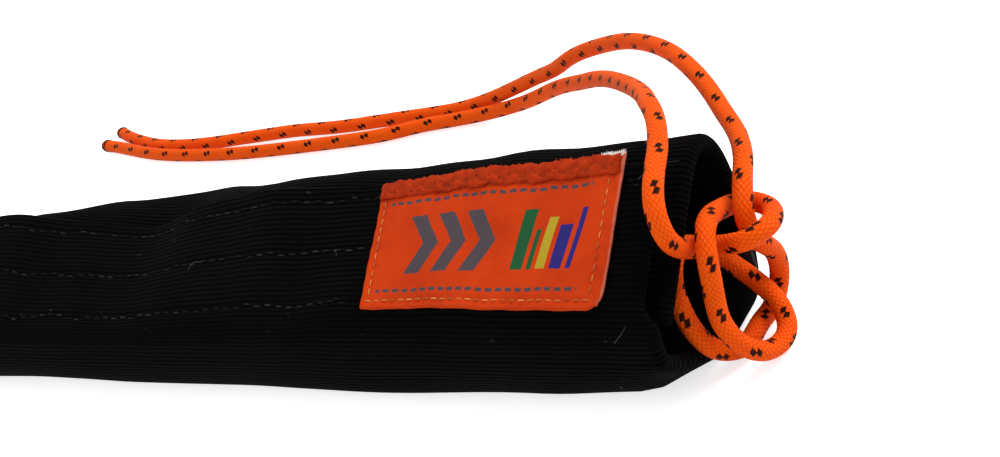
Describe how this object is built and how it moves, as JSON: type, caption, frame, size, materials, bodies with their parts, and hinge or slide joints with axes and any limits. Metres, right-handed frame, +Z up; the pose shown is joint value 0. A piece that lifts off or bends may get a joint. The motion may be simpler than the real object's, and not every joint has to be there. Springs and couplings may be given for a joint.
{
  "type": "rope protector sleeve",
  "caption": "Black ribbed canvas sleeve that wraps round a climbing rope, closed by a hook-and-loop flap, with a sewn label and an accessory cord hitched at its mouth.",
  "frame": {"origin": "under the middle of the sleeve's length, on the flat strip of its underside that it lies on", "axes": "+X along the sleeve to the mouth where the cord is hitched, +Y across to the side away from the closure's fold, +Z up"},
  "size_m": [0.5137, 0.1041, 0.0359],
  "materials": {
    "canvas": "ribbed canvas, matt",
    "flap_canvas": "ribbed canvas, matt",
    "hook": "hook tape",
    "loop": "loop tape",
    "label_cloth": "coated woven label, matt",
    "webbing": "narrow woven webbing",
    "cord": "braided sheath with dark ticks"
  },
  "bodies": {
    "sleeve": {"sleeve_panel": "canvas", "mouth_hem": "canvas", "far_hem": "canvas", "loop_tape": "loop", "cord_keeper": "webbing", "cord_hitch": "cord", "cord_tail_left": "cord", "cord_tail_right": "cord"},
    "flap": {"closure_flap": "flap_canvas", "flap_mouth_hem": "flap_canvas", "flap_far_hem": "flap_canvas", "hook_tape": "hook", "label": "label_cloth"}
  },
  "joints": [
    {"name": "flap_fold", "type": "hinge", "parent": "sleeve", "child": "flap", "pos_m": [0, -0.0178, 0.012], "axis": [1, 0, 0], "range_deg": [0, 150]}
  ]
}
